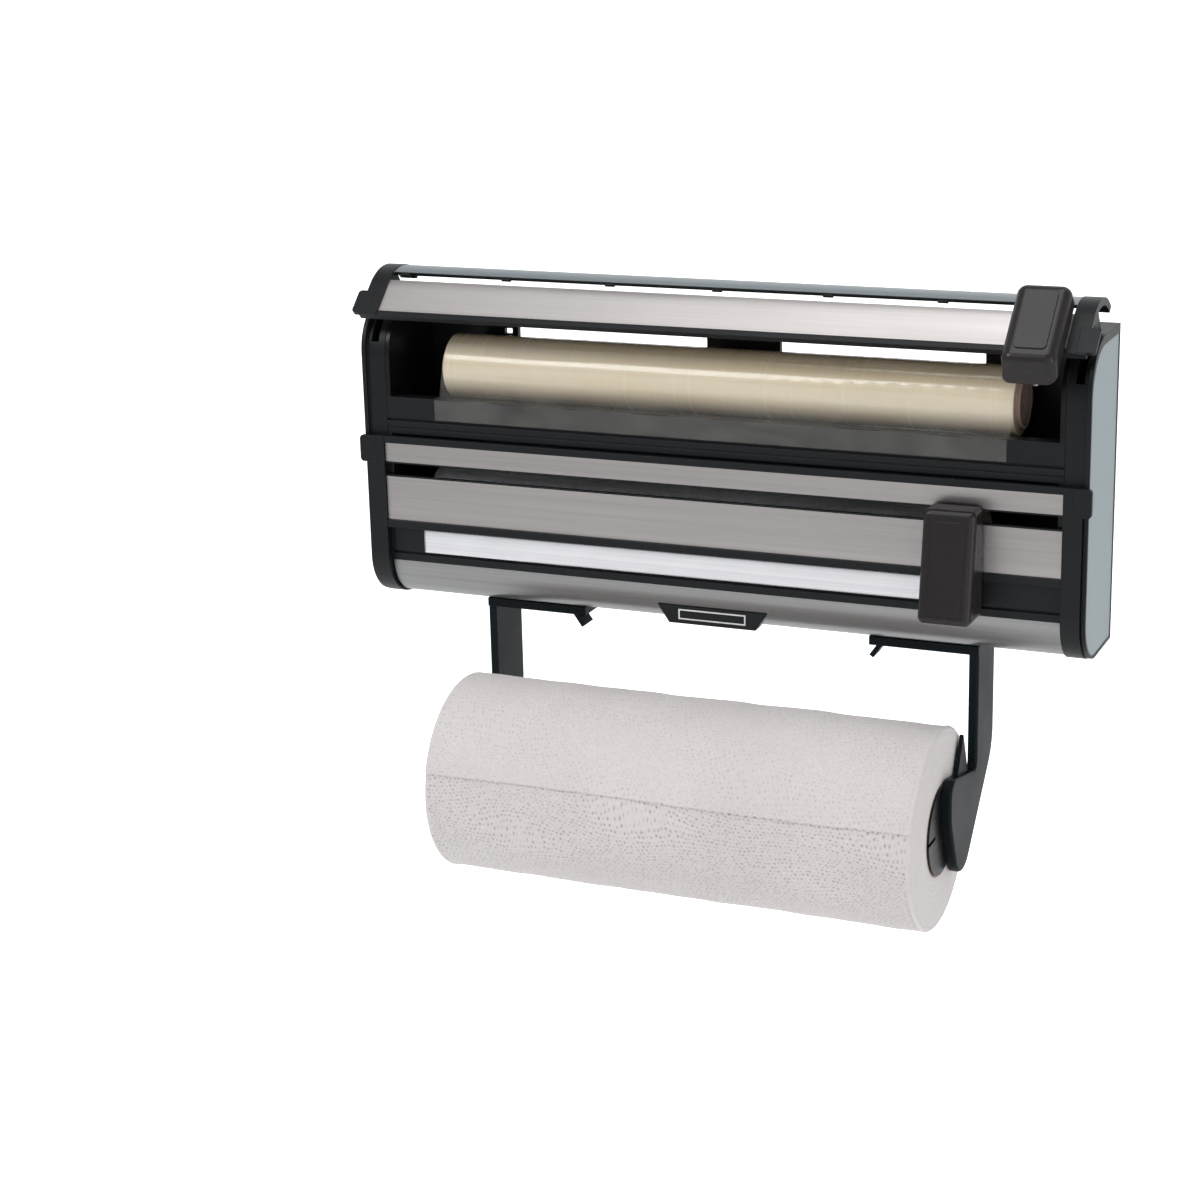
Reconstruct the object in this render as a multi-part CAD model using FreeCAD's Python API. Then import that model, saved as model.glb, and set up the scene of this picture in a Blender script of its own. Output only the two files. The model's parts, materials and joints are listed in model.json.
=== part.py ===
# Wall-mounted kitchen dispenser for cling film, foil and kitchen paper.
# Units are millimetres. X runs along the rolls, Y points into the wall, Z is up.
# The origin lies on the wall plane, midway between the two wall screw holes.
import FreeCAD, Part
import math
import os

os.makedirs("parts", exist_ok=True)

V = FreeCAD.Vector

# ---- housing -------------------------------------------------------------
TOP_Z = 30.0                # top of the housing, above the wall screws
BOTTOM_Z = -127.0           # underside of the housing
FRONT_Y = -59.0             # front of the closed flaps
TOP_RADIUS = 27.0           # rounded front edge at the top
BOTTOM_RADIUS = 26.0        # rounded front edge at the bottom
WALL = 2.4                  # plastic wall thickness
BACK = 3.0                  # thickness of the back wall
RECESS = 4.4                # how far the housing sits behind the flap face

CHASSIS_X = 177.6           # half length of the chassis
ARM_IN_X = 178.4            # flap arms, inner side
ARM_OUT_X = 187.6           # flap arms, outer side
CAP_IN_X = 177.8            # end caps, inner side
CAP_WALL_X = 187.9          # start of the outer wall of the end cap
HALF_LENGTH = 190.0         # half of the overall length
CAP_FRONT_Y = -56.4         # front edge of the end cap's outer wall
CAP_RIM = 1.6               # rim left around the end panel
PANEL_TOP_INSET = 4.4       # wider rim above the end panel
PANEL_DEPTH = 1.0           # pocket that holds the end panel
PANEL_THICKNESS = 0.7

TOP_PLATE_Y = -29.4         # front edge of the fixed top
BOTTOM_STEP_Y = -28.0       # the end caps reach full depth behind this line

# ---- windows and wall screws --------------------------------------------
WINDOW_IN_X = 19.7
WINDOW_OUT_X = 125.5
WINDOW_BOTTOM_Z = -21.5
WINDOW_TOP_Z = 20.0
WINDOW_RADIUS = 9.0
SCREW_X = 150.0
SCREW_HOLE_RADIUS = 2.6
PEG_HOLE_X = -131.0
PEG_HOLE_Z = 9.7
PEG_HOLE_WIDTH = 4.4
PEG_HOLE_HEIGHT = 3.0

# ---- rails and floors ----------------------------------------------------
RAIL_FRONT_Y = FRONT_Y + RECESS
RAIL_BACK_Y = -47.0
UPPER_RAIL_TOP_Z = -17.5
UPPER_RAIL_BOTTOM_Z = -36.9
LOWER_RAIL_TOP_Z = -87.3
LOWER_RAIL_BOTTOM_Z = -104.9
UPPER_GROOVE_Z = -29.3
LOWER_GROOVE_Z = -100.4
GROOVE_HEIGHT = 1.6
GROOVE_DEPTH = 1.5
UPPER_FLOOR_Z = -24.0
LOWER_FLOOR_Z = -94.0
TRIM_THICKNESS = 0.8
TRIM_END_Y = -34.0
NOSE_DROP = 3.6             # the nose under the lower rail hangs this much lower
CRADLE_X = (60.0, 134.0)
FOIL_CRADLE_SHIFT = 10.0    # the foil ribs stand this much closer to the middle
CRADLE_GAP = 0.15
CRADLE_THICKNESS = 2.4
CRADLE_FRONT_RISE = 0.85    # front horns end this share of the radius below the roll axis

# ---- flaps ---------------------------------------------------------------
FRAME_INNER = 3.8           # depth of the flap frame's inner face
FRAME_OUTER = 0.5           # bars sit this far behind the arm faces
SHEET_OUTER = 1.5           # steel sheets, outer face
SHEET_INNER = 2.2           # steel sheets, inner face
STRIP_OUTER = 0.3           # the upper strip lies almost flush with the arms
STRIP_INNER = 1.0
STRIP_BACK = 2.2            # inner face of the plastic behind the upper strip
SHEET_X = 178.2
LIP = 0.8                   # plastic lip along each slot

UPPER_PIVOT_Y = -11.3
UPPER_PIVOT_Z = 8.3
UPPER_OPEN_DEG = 47.0       # the upper flap stands open by this much at rest
UPPER_EDGE_Z = -16.3
UPPER_PANEL_Z = -13.1
UPPER_SLOT_BOTTOM_Z = 7.5
UPPER_SLOT_TOP_Z = 12.4
UPPER_LIP_TOP_Z = 13.0
UPPER_TIP_Y = -34.0
UPPER_EAR_DEG = 170.0
CLIP_PITCH = 57.0
CLIP_WIDTH = 5.0
CLIP_DROP = 1.4

LOWER_PIVOT_Y = -16.0
LOWER_PIVOT_Z = -114.3
LOWER_OPEN_DEG = 45.0
LOWER_TOP_Z = -37.7
LOWER_STRIP_TOP_Z = -41.2
LOWER_SLOT_TOP_Z = -52.0
LOWER_SLOT_BOTTOM_Z = -58.4
LOWER_PANEL_BOTTOM_Z = -82.4
LOWER_EDGE_Z = -86.3
LOWER_TIP_Y = -33.0
LOWER_EAR_DEG = 150.0

EAR_IN_X = 181.9
EAR_OUT_X = 185.1
EAR_GAP = 0.5
EAR_HALF_WIDTH = 4.5
EAR_LENGTH = 47.0
PIN_RADIUS = 2.0
PIN_CLEARANCE = 0.05

TAB_IN_X = 183.0
TAB_OUT_X = 192.0
TAB_HEIGHT = 14.0
TAB_THICKNESS = 2.3

# ---- cutters -------------------------------------------------------------
CUTTER_WIDTH = 26.0
CUTTER_BACK_Y = -60.4
CUTTER_WALL = 2.0
UPPER_CUTTER_ROUND = 5.0
LOWER_CUTTER_ROUND = 3.2
NECK_FRONT_GAP = 1.0          # between the slider's neck and the shell's front wall
PAD_MARGIN = 5.2                # raised thumb pad on the cutter's front
PAD_LIFT = 0.6
PAD_ROUND = 2.4
UPPER_CUTTER_X = 164.8
UPPER_CUTTER_FRONT_Y = -71.8
UPPER_CUTTER_TOP_Z = 14.4
UPPER_CUTTER_BEND_Z = -29.0     # below this the front slopes back to the flap
UPPER_CUTTER_BOTTOM_Z = -35.6
UPPER_NECK_TOP_Z = 10.8
LOWER_CUTTER_X = 127.8
LOWER_CUTTER_TOP_Y = -72.5      # the front leans out towards the bottom
LOWER_CUTTER_CHIN_Y = -82.0
LOWER_CUTTER_TOP_Z = -49.6
LOWER_CUTTER_BOTTOM_Z = -103.8
NECK_HALF_WIDTH = 8.5
SHOE_HALF_WIDTH = 9.5
SLIDE_GAP = 0.4
SHOE_BACK_Y = -51.2
SHOE_OVERLAP = 4.0
BLADE_THICKNESS = 0.8
BLADE_DROP = 1.3                # blade below the cutting groove
BLADE_RISE = 7.0                # blade above the cutting groove
BLADE_TIP_Y = -55.4
UPPER_BLADE_ROOT_Y = -62.8
LOWER_BLADE_ROOT_Y = -77.4

# ---- rolls ---------------------------------------------------------------
FILM_Y = -27.0
FILM_Z = -5.0
FILM_RADIUS = 17.0
FILM_CORE_RADIUS = 13.0
FILM_BORE_RADIUS = 11.5
FILM_X = (-150.0, 150.0)

FOIL_Y = -28.0
FOIL_Z = -74.5
FOIL_RADIUS = 17.5
FOIL_CORE_RADIUS = 15.0
FOIL_BORE_RADIUS = 13.5
FOIL_X = (-159.0, 131.0)

WEB_THICKNESS = 0.4
WEB_GAP = 0.05

PAPER_Y = -79.0
PAPER_Z = -207.3
PAPER_RADIUS = 51.0
PAPER_CORE_RADIUS = 23.3
PAPER_BORE_RADIUS = 22.5
PAPER_HALF_LENGTH = 127.3

# ---- roll arms -----------------------------------------------------------
ARM_PLATE_IN_X = 128.4
ARM_PLATE_OUT_X = 133.2
FOOT_END_X = 77.0
FOOT_TOP_Z = -127.3
FOOT_THICKNESS = 4.4
FOOT_FRONT_Y = -35.0
FOOT_BACK_Y = -12.0
LEG_FRONT_Y = -35.0
LEG_BACK_Y = -4.5
LEG_BACK_END_Z = -188.0         # the back edge turns forward here
SHOULDER_Z = -191.0             # the front edge turns forward here, into the lobe
BROW_Z = -181.5                 # top front corner of the lobe
LOBE_FRONT_Y = -80.5
LOBE_CHEEK_Z = -203.0           # the lobe's front edge turns back here
LOBE_TIP_Y = -61.7              # sharp lower corner, before rounding
LOBE_TIP_Z = -247.0
ARMPIT_RADIUS = 4.0
BROW_RADIUS = 7.0
CHEEK_RADIUS = 22.0
TIP_RADIUS = 14.0
BACK_BEND_RADIUS = 26.0
PLATE_ROUND = 1.4               # softened edge of the outer face
FIN_TIP = (-50.0, -168.0)       # guide fin on the shoulder
FIN_FOOT_Y = (-62.5, -40.5)
FIN_THICKNESS = 2.0
HUB_RADIUS = 22.42
HUB_LENGTH = 14.0
HUB_WALL = 2.5
HUB_NOTCH = 1.8             # slit in the hub's closed end
LUG_X = (92.0, 126.0)
LUG_TRAVEL = 25.0
LUG_Y = -17.0
LUG_NECK_WIDTH = 7.4
LUG_SLOT_WIDTH = 8.0
LUG_HEAD_WIDTH = 13.0
LUG_HEAD_THICKNESS = 2.2
LUG_GAP = 0.3
RELEASE_TAB_LENGTH = 7.0
RELEASE_TAB_THICKNESS = 2.5
RELEASE_TAB_DEPTH = 10.0
RELEASE_TAB_DEG = 35.0

# ---- badge ---------------------------------------------------------------
BADGE_TOP_HALF = 29.2
BADGE_BOTTOM_HALF = 23.2
BADGE_TOP_Z = -116.0
BADGE_BOTTOM_Z = -125.0
BADGE_FRONT_Y = -52.0
BADGE_BACK_Y = -45.0

# Limits well outside the housing, for cutting blocks.
FAR = 400.0


# ==== helpers =============================================================
def save(name, shape):
    """Write one sub-part as a STEP file."""
    shape = shape.removeSplitter()
    shape.exportStep(os.path.join("parts", name + ".step"))


def box(x0, x1, y0, y1, z0, z1):
    """Axis-aligned block between the given limits."""
    return Part.makeBox(x1 - x0, y1 - y0, z1 - z0, V(x0, y0, z0))


def slab(half_x, y0, y1, z0, z1):
    """Block that is symmetric about the middle of the housing."""
    return box(-half_x, half_x, y0, y1, z0, z1)


def rod(y, z, radius, x0, x1):
    """Cylinder along X."""
    return Part.makeCylinder(radius, x1 - x0, V(x0, y, z), V(1, 0, 0))


def tube(y, z, outer, inner, x0, x1):
    """Hollow cylinder along X."""
    return rod(y, z, outer, x0, x1).cut(rod(y, z, inner, x0 - 1, x1 + 1))


def prism(points, x0, x1):
    """Extrude a closed outline of (y, z) points along X."""
    outline = [V(x0, y, z) for y, z in points]
    outline.append(outline[0])
    face = Part.Face(Part.makePolygon(outline))
    return face.extrude(V(x1 - x0, 0, 0))


def mirrored(shape):
    """Mirror image of a right-hand piece, for the left-hand end."""
    return shape.mirror(V(0, 0, 0), V(1, 0, 0))


def both(shape):
    """A right-hand feature together with its mirror image."""
    return shape.fuse(mirrored(shape))


def turn(shape, y, z, degrees):
    """Rotate about an axis along X."""
    result = shape.copy()
    result.rotate(V(0, y, z), V(1, 0, 0), degrees)
    return result


def corner_arc(cy, cz, radius, start_deg, end_deg):
    """Quarter-circle edge in the x = 0 plane."""
    ends = []
    for degrees in (start_deg, (start_deg + end_deg) / 2, end_deg):
        a = math.radians(degrees)
        ends.append(V(0, cy + radius * math.cos(a), cz + radius * math.sin(a)))
    return Part.Arc(*ends).toShape()


def d_face(front_y, top_z, bottom_z, top_radius, bottom_radius):
    """D-shaped housing section with its flat side on the wall."""
    top_cy = front_y + top_radius
    top_cz = top_z - top_radius
    low_cy = front_y + bottom_radius
    low_cz = bottom_z + bottom_radius
    edges = [
        Part.makeLine(V(0, 0, top_z), V(0, top_cy, top_z)),
        corner_arc(top_cy, top_cz, top_radius, 90, 180),
        Part.makeLine(V(0, front_y, top_cz), V(0, front_y, low_cz)),
        corner_arc(low_cy, low_cz, bottom_radius, 180, 270),
        Part.makeLine(V(0, low_cy, bottom_z), V(0, 0, bottom_z)),
        Part.makeLine(V(0, 0, bottom_z), V(0, 0, top_z)),
    ]
    return Part.Face(Part.Wire(edges))


def d_solid(inset, x0, x1):
    """Housing section set back from the flap face, extruded along X."""
    face = d_face(FRONT_Y + inset, TOP_Z - inset, BOTTOM_Z + inset,
                  TOP_RADIUS - inset, BOTTOM_RADIUS - inset)
    face.translate(V(x0, 0, 0))
    return face.extrude(V(x1 - x0, 0, 0))


def skin(outer_inset, inner_inset, x0, x1, y_end, z0, z1):
    """Curved plate that follows the front of the housing."""
    shell = d_solid(outer_inset, x0, x1).cut(d_solid(inner_inset, x0 - 1, x1 + 1))
    return shell.common(box(x0, x1, FRONT_Y - 1, y_end, z0, z1))


def rounded_hole(x0, x1, z0, z1, radius, y0, y1):
    """Block with rounded vertical-plane corners, for cutting windows."""
    block = box(x0, x1, y0, y1, z0, z1)
    along_y = [e for e in block.Edges if abs(e.tangentAt(e.FirstParameter).y) > 0.9]
    return block.makeFillet(radius, along_y)


def edges_along(shape, axis, test):
    """Straight edges parallel to an axis whose centre passes a test."""
    found = []
    for edge in shape.Edges:
        direction = edge.tangentAt(edge.FirstParameter)
        if abs(direction.dot(axis)) > 0.99 and test(edge.CenterOfMass):
            found.append(edge)
    return found


def ear_bar(y, z, degrees, half_width, radius, x0, x1):
    """Straight bar that runs from a pivot at a given angle."""
    bar = box(x0, x1, y, y + EAR_LENGTH, z - half_width, z + half_width)
    boss = rod(y, z, radius, x0, x1)
    return turn(bar, y, z, degrees).fuse(boss)


def ear_slot(y, z, start_deg, end_deg):
    """Space swept by an ear between two angles, with running room."""
    x0 = EAR_IN_X - EAR_GAP
    x1 = EAR_OUT_X + EAR_GAP
    width = EAR_HALF_WIDTH + EAR_GAP
    reach = EAR_LENGTH + 6
    sector = Part.makeCylinder(reach, x1 - x0, V(x0, y, z), V(1, 0, 0), end_deg - start_deg)
    middle = sector.CenterOfMass
    now = math.degrees(math.atan2(middle.z - z, middle.y - y))
    sector = turn(sector, y, z, (start_deg + end_deg) / 2 - now)
    low = box(x0, x1, y, y + reach, z - width, z + width)
    low_bar = turn(low, y, z, start_deg)
    high_bar = turn(low, y, z, end_deg)
    boss = rod(y, z, width + 2, x0, x1)
    return sector.fuse([low_bar, high_bar, boss])


def tangent_point(cy, cz, radius, py, pz, side):
    """Point where a line from (py, pz) touches a circle."""
    distance = math.hypot(py - cy, pz - cz)
    base = math.atan2(pz - cz, py - cy)
    swing = math.acos(radius / distance)
    a = base + side * swing
    return cy + radius * math.cos(a), cz + radius * math.sin(a)


# ==== housing =============================================================
def back_wall():
    wall = slab(CHASSIS_X, -BACK, 0, BOTTOM_Z, TOP_Z)
    window = rounded_hole(WINDOW_IN_X, WINDOW_OUT_X, WINDOW_BOTTOM_Z, WINDOW_TOP_Z,
                          WINDOW_RADIUS, -BACK - 1, 1)
    screw = Part.makeCylinder(SCREW_HOLE_RADIUS, BACK + 2, V(SCREW_X, -BACK - 1, 0), V(0, 1, 0))
    peg = box(PEG_HOLE_X - PEG_HOLE_WIDTH / 2, PEG_HOLE_X + PEG_HOLE_WIDTH / 2, -BACK - 1, 1,
              PEG_HOLE_Z - PEG_HOLE_HEIGHT / 2, PEG_HOLE_Z + PEG_HOLE_HEIGHT / 2)
    return wall.cut([both(window), both(screw), peg])


def nose_skin(outer_inset, inner_inset, half_x):
    """Curved layer of the nose, from the lower rail round to the underside."""
    layer = skin(outer_inset, inner_inset, -half_x, half_x, TRIM_END_Y,
                 BOTTOM_Z, LOWER_RAIL_BOTTOM_Z + NOSE_DROP)
    layer.translate(V(0, 0, -NOSE_DROP))
    return layer


def side_wall():
    """Inner side wall of the chassis, clear of the rails."""
    wall = d_solid(RECESS, CHASSIS_X - WALL, CHASSIS_X)
    upper = box(0, CHASSIS_X + 1, FRONT_Y, RAIL_BACK_Y, UPPER_RAIL_BOTTOM_Z, UPPER_RAIL_TOP_Z)
    lower = box(0, CHASSIS_X + 1, FRONT_Y, RAIL_BACK_Y, LOWER_RAIL_BOTTOM_Z, LOWER_RAIL_TOP_Z)
    trim = nose_skin(RECESS, RECESS + TRIM_THICKNESS, CHASSIS_X + 1)
    return wall.cut([upper, lower, trim])


def cradle(x, cy, cz, radius, floor_z):
    """Thin rib with a round seat that carries a roll."""
    x0 = x - CRADLE_THICKNESS / 2
    x1 = x + CRADLE_THICKNESS / 2
    rib = box(x0, x1, RAIL_BACK_Y, -BACK, floor_z, cz - radius / 2)
    low_front = box(x0 - 1, x1 + 1, -FAR, cy, cz - radius * CRADLE_FRONT_RISE, 0)
    seat = rod(cy, cz, radius + CRADLE_GAP, x0 - 1, x1 + 1)
    return rib.cut([low_front, seat])


def make_chassis():
    back = back_wall()
    top = slab(CHASSIS_X, TOP_PLATE_Y, -BACK, TOP_Z - WALL, TOP_Z)
    upper_floor = slab(CHASSIS_X, RAIL_BACK_Y, -BACK, UPPER_FLOOR_Z - WALL, UPPER_FLOOR_Z)
    lower_floor = slab(CHASSIS_X, RAIL_BACK_Y, -BACK, LOWER_FLOOR_Z - WALL, LOWER_FLOOR_Z)
    bottom = slab(CHASSIS_X, BOTTOM_STEP_Y, -BACK, BOTTOM_Z, BOTTOM_Z + WALL)
    nose_inset = RECESS + TRIM_THICKNESS
    nose_bottom = BOTTOM_Z + nose_inset - NOSE_DROP
    nose = nose_skin(nose_inset, nose_inset + WALL, CHASSIS_X)
    step = slab(CHASSIS_X, TRIM_END_Y, BOTTOM_STEP_Y + WALL, nose_bottom, nose_bottom + WALL)
    riser = slab(CHASSIS_X, BOTTOM_STEP_Y, BOTTOM_STEP_Y + WALL, BOTTOM_Z, nose_bottom + WALL)
    ribs = []
    for x in CRADLE_X:
        ribs.append(both(cradle(x, FILM_Y, FILM_Z, FILM_RADIUS, UPPER_FLOOR_Z)))
        ribs.append(both(cradle(x - FOIL_CRADLE_SHIFT, FOIL_Y, FOIL_Z, FOIL_RADIUS, LOWER_FLOOR_Z)))
    body = back.fuse([top, upper_floor, lower_floor, bottom, nose, step, riser,
                      both(side_wall())] + ribs)
    slot = box(LUG_X[0] - 1, LUG_X[1] + LUG_TRAVEL + 1, LUG_Y - LUG_SLOT_WIDTH / 2,
               LUG_Y + LUG_SLOT_WIDTH / 2, BOTTOM_Z - 1, BOTTOM_Z + WALL + 1)
    return body.cut(both(slot))


def end_cap_core():
    """Thick part of the end cap, with slots for the flap ears."""
    core = d_solid(RECESS, CAP_IN_X, CAP_WALL_X)
    top = box(CAP_IN_X, CAP_WALL_X, TOP_PLATE_Y, 0, TOP_Z - RECESS - 1, TOP_Z)
    bottom = box(CAP_IN_X, CAP_WALL_X, BOTTOM_STEP_Y, 0, BOTTOM_Z, BOTTOM_Z + RECESS + 1)
    upper_slot = ear_slot(UPPER_PIVOT_Y, UPPER_PIVOT_Z,
                          UPPER_EAR_DEG - UPPER_OPEN_DEG, UPPER_EAR_DEG)
    lower_slot = ear_slot(LOWER_PIVOT_Y, LOWER_PIVOT_Z,
                          LOWER_EAR_DEG, LOWER_EAR_DEG + LOWER_OPEN_DEG)
    core = core.fuse([top, bottom]).cut([upper_slot, lower_slot])
    for y, z in ((UPPER_PIVOT_Y, UPPER_PIVOT_Z), (LOWER_PIVOT_Y, LOWER_PIVOT_Z)):
        core = core.cut(rod(y, z, PIN_RADIUS + PIN_CLEARANCE, CAP_IN_X - 1, CAP_WALL_X))
    return core


def cap_slice(inset, top_inset, x0, x1):
    """Length of the end cap's outline, drawn in from its edges."""
    face = d_face(CAP_FRONT_Y + inset, TOP_Z - top_inset, BOTTOM_Z + inset,
                  TOP_RADIUS - inset - 2, BOTTOM_RADIUS - inset - 2)
    face.translate(V(x0, 0, 0))
    return face.extrude(V(x1 - x0, 0, 0))


def panel_area(x0, x1):
    """The end panel's outline, with a rim left along the wall."""
    area = cap_slice(CAP_RIM, PANEL_TOP_INSET, x0, x1)
    return area.cut(box(x0 - 1, x1 + 1, -CAP_RIM, 1, BOTTOM_Z - 1, TOP_Z + 1))


def make_end_cap():
    wall = cap_slice(0, 0, CAP_WALL_X, HALF_LENGTH)
    pocket = panel_area(HALF_LENGTH - PANEL_DEPTH, HALF_LENGTH + 1)
    return end_cap_core().fuse(wall.cut(pocket))


def make_end_panel():
    x0 = HALF_LENGTH - PANEL_DEPTH
    return panel_area(x0, x0 + PANEL_THICKNESS)


def groove(z):
    return slab(CHASSIS_X + 1, RAIL_FRONT_Y - 1, RAIL_FRONT_Y + GROOVE_DEPTH,
                z - GROOVE_HEIGHT / 2, z + GROOVE_HEIGHT / 2)


def make_upper_rail():
    rail = slab(CHASSIS_X, RAIL_FRONT_Y, RAIL_BACK_Y, UPPER_RAIL_BOTTOM_Z, UPPER_RAIL_TOP_Z)
    line = slab(CHASSIS_X + 1, RAIL_FRONT_Y - 1, RAIL_FRONT_Y + 0.6,
                UPPER_RAIL_BOTTOM_Z + 3.0, UPPER_RAIL_BOTTOM_Z + 3.8)
    return rail.cut([groove(UPPER_GROOVE_Z), line])


def make_lower_rail():
    rail = slab(CHASSIS_X, RAIL_FRONT_Y, RAIL_BACK_Y, LOWER_RAIL_BOTTOM_Z, LOWER_RAIL_TOP_Z)
    return rail.cut(groove(LOWER_GROOVE_Z))


def make_lower_trim():
    return nose_skin(RECESS, RECESS + TRIM_THICKNESS, CHASSIS_X)


def make_badge_plate():
    plate = Part.makePolygon([
        V(-BADGE_TOP_HALF, BADGE_FRONT_Y, BADGE_TOP_Z),
        V(BADGE_TOP_HALF, BADGE_FRONT_Y, BADGE_TOP_Z),
        V(BADGE_BOTTOM_HALF, BADGE_FRONT_Y, BADGE_BOTTOM_Z),
        V(-BADGE_BOTTOM_HALF, BADGE_FRONT_Y, BADGE_BOTTOM_Z),
        V(-BADGE_TOP_HALF, BADGE_FRONT_Y, BADGE_TOP_Z),
    ])
    solid = Part.Face(plate).extrude(V(0, BADGE_BACK_Y - BADGE_FRONT_Y, 0))
    nose = d_solid(RECESS, -FAR, FAR)
    nose.translate(V(0, 0, -NOSE_DROP))
    return solid.cut(nose)


def make_hinge_pins():
    pins = []
    for y, z in ((UPPER_PIVOT_Y, UPPER_PIVOT_Z), (LOWER_PIVOT_Y, LOWER_PIVOT_Z)):
        pin = rod(y, z, PIN_RADIUS, CAP_IN_X + 0.2, CAP_WALL_X - 0.2)
        pins.extend([pin, mirrored(pin)])
    return Part.makeCompound(pins)


# ==== flaps ===============================================================
def band(outer_inset, inner_inset, half_x, y_end, z0, z1):
    return skin(outer_inset, inner_inset, -half_x, half_x, y_end, z0, z1)


def flap_tab(bottom_z):
    """Finger tab at the end of a flap."""
    tab = box(TAB_IN_X, TAB_OUT_X, FRONT_Y - 0.2, FRONT_Y - 0.2 + TAB_THICKNESS,
              bottom_z, bottom_z + TAB_HEIGHT)
    corners = edges_along(tab, V(0, 1, 0), lambda c: c.x > TAB_OUT_X - 0.1)
    return tab.makeFillet(2.0, corners)


def flap_ear(y, z, degrees):
    ear = ear_bar(y, z, degrees, EAR_HALF_WIDTH, EAR_HALF_WIDTH + 1.5, EAR_IN_X, EAR_OUT_X)
    ear = ear.common(d_solid(1.0, 0, FAR))
    return ear.cut(rod(y, z, PIN_RADIUS + PIN_CLEARANCE, 0, FAR))


def clips():
    """Small clips that hold the upper strip along the slot."""
    result = []
    for i in range(-3, 4):
        x = i * CLIP_PITCH
        clip = box(x - CLIP_WIDTH / 2, x + CLIP_WIDTH / 2, FRONT_Y - 1, -50,
                   UPPER_SLOT_TOP_Z - CLIP_DROP, UPPER_SLOT_TOP_Z + 0.2)
        ring = skin(FRAME_OUTER + 0.3, STRIP_BACK, x - 20, x + 20, -40, 0, TOP_Z)
        result.append(clip.common(ring))
    return result


def make_upper_flap_frame():
    arm = skin(0, FRAME_INNER, ARM_IN_X - 0.3, ARM_OUT_X, UPPER_TIP_Y, UPPER_EDGE_Z, TOP_Z + 1)
    edge = band(FRAME_OUTER, FRAME_INNER, ARM_IN_X, 0, UPPER_EDGE_Z, UPPER_PANEL_Z)
    panel = band(SHEET_INNER, FRAME_INNER, ARM_IN_X, 0, UPPER_PANEL_Z, UPPER_SLOT_BOTTOM_Z)
    lip = band(FRAME_OUTER, STRIP_BACK, ARM_IN_X, 0, UPPER_SLOT_TOP_Z, UPPER_LIP_TOP_Z)
    strip = band(STRIP_INNER, STRIP_BACK, ARM_IN_X, UPPER_TIP_Y, UPPER_LIP_TOP_Z, TOP_Z + 1)
    tip = band(STRIP_OUTER, STRIP_BACK, ARM_IN_X, UPPER_TIP_Y, TOP_Z - 6, TOP_Z + 1)
    tip = tip.common(slab(ARM_IN_X, UPPER_TIP_Y - LIP, 0, 0, TOP_Z + 1))
    ear = flap_ear(UPPER_PIVOT_Y, UPPER_PIVOT_Z, UPPER_EAR_DEG)
    frame = both(arm).fuse([edge, panel, lip, strip, tip, both(ear),
                            both(flap_tab(UPPER_EDGE_Z + 0.8))] + clips())
    return open_upper(frame)


def make_upper_flap_panel():
    sheet = band(SHEET_OUTER, SHEET_INNER, SHEET_X - 0.1, 0,
                 UPPER_PANEL_Z, UPPER_SLOT_BOTTOM_Z)
    return open_upper(sheet)


def make_upper_flap_strip():
    sheet = band(STRIP_OUTER, STRIP_INNER, SHEET_X - 0.1, UPPER_TIP_Y - LIP,
                 UPPER_LIP_TOP_Z, TOP_Z + 1)
    return open_upper(sheet)


def open_upper(shape):
    """Swing a piece of the upper flap from closed to its open rest position."""
    return turn(shape, UPPER_PIVOT_Y, UPPER_PIVOT_Z, -UPPER_OPEN_DEG)


def make_lower_flap_frame():
    arm = skin(0, FRAME_INNER, ARM_IN_X, ARM_OUT_X, LOWER_TIP_Y, BOTTOM_Z - 1, LOWER_TOP_Z)
    top = band(FRAME_OUTER, FRAME_INNER, ARM_IN_X + 1, 0, LOWER_STRIP_TOP_Z, LOWER_TOP_Z)
    strip = band(SHEET_INNER, FRAME_INNER, ARM_IN_X + 1, 0, LOWER_SLOT_TOP_Z, LOWER_STRIP_TOP_Z)
    strip_lip = band(SHEET_OUTER, FRAME_INNER, ARM_IN_X + 1, 0,
                     LOWER_SLOT_TOP_Z, LOWER_SLOT_TOP_Z + LIP)
    panel = band(SHEET_INNER, FRAME_INNER, ARM_IN_X + 1, 0,
                 LOWER_PANEL_BOTTOM_Z, LOWER_SLOT_BOTTOM_Z)
    panel_lip = band(SHEET_OUTER, FRAME_INNER, ARM_IN_X + 1, 0,
                     LOWER_SLOT_BOTTOM_Z - LIP, LOWER_SLOT_BOTTOM_Z)
    edge = band(FRAME_OUTER, FRAME_INNER, ARM_IN_X + 1, 0, LOWER_EDGE_Z, LOWER_PANEL_BOTTOM_Z)
    ear = flap_ear(LOWER_PIVOT_Y, LOWER_PIVOT_Z, LOWER_EAR_DEG)
    return both(arm).fuse([top, strip, strip_lip, panel, panel_lip, edge, both(ear),
                           both(flap_tab(LOWER_TOP_Z - TAB_HEIGHT))])


def make_lower_flap_strip():
    return band(SHEET_OUTER, SHEET_INNER, SHEET_X, 0,
                LOWER_SLOT_TOP_Z + LIP, LOWER_STRIP_TOP_Z)


def make_lower_flap_panel():
    return band(SHEET_OUTER, SHEET_INNER, SHEET_X, 0,
                LOWER_PANEL_BOTTOM_Z, LOWER_SLOT_BOTTOM_Z - LIP)


# ==== cutters =============================================================
def hollowed(solid, x0, x1):
    """Shell open towards the flap."""
    core = solid.common(box(x0 + CUTTER_WALL, x1 - CUTTER_WALL, -FAR, FAR, -FAR, FAR))
    core.translate(V(0, CUTTER_WALL, 0))
    low = solid.BoundBox.ZMin + CUTTER_WALL
    high = solid.BoundBox.ZMax - CUTTER_WALL
    return solid.cut(core.common(box(x0, x1, -FAR, FAR, low, high)))


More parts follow.
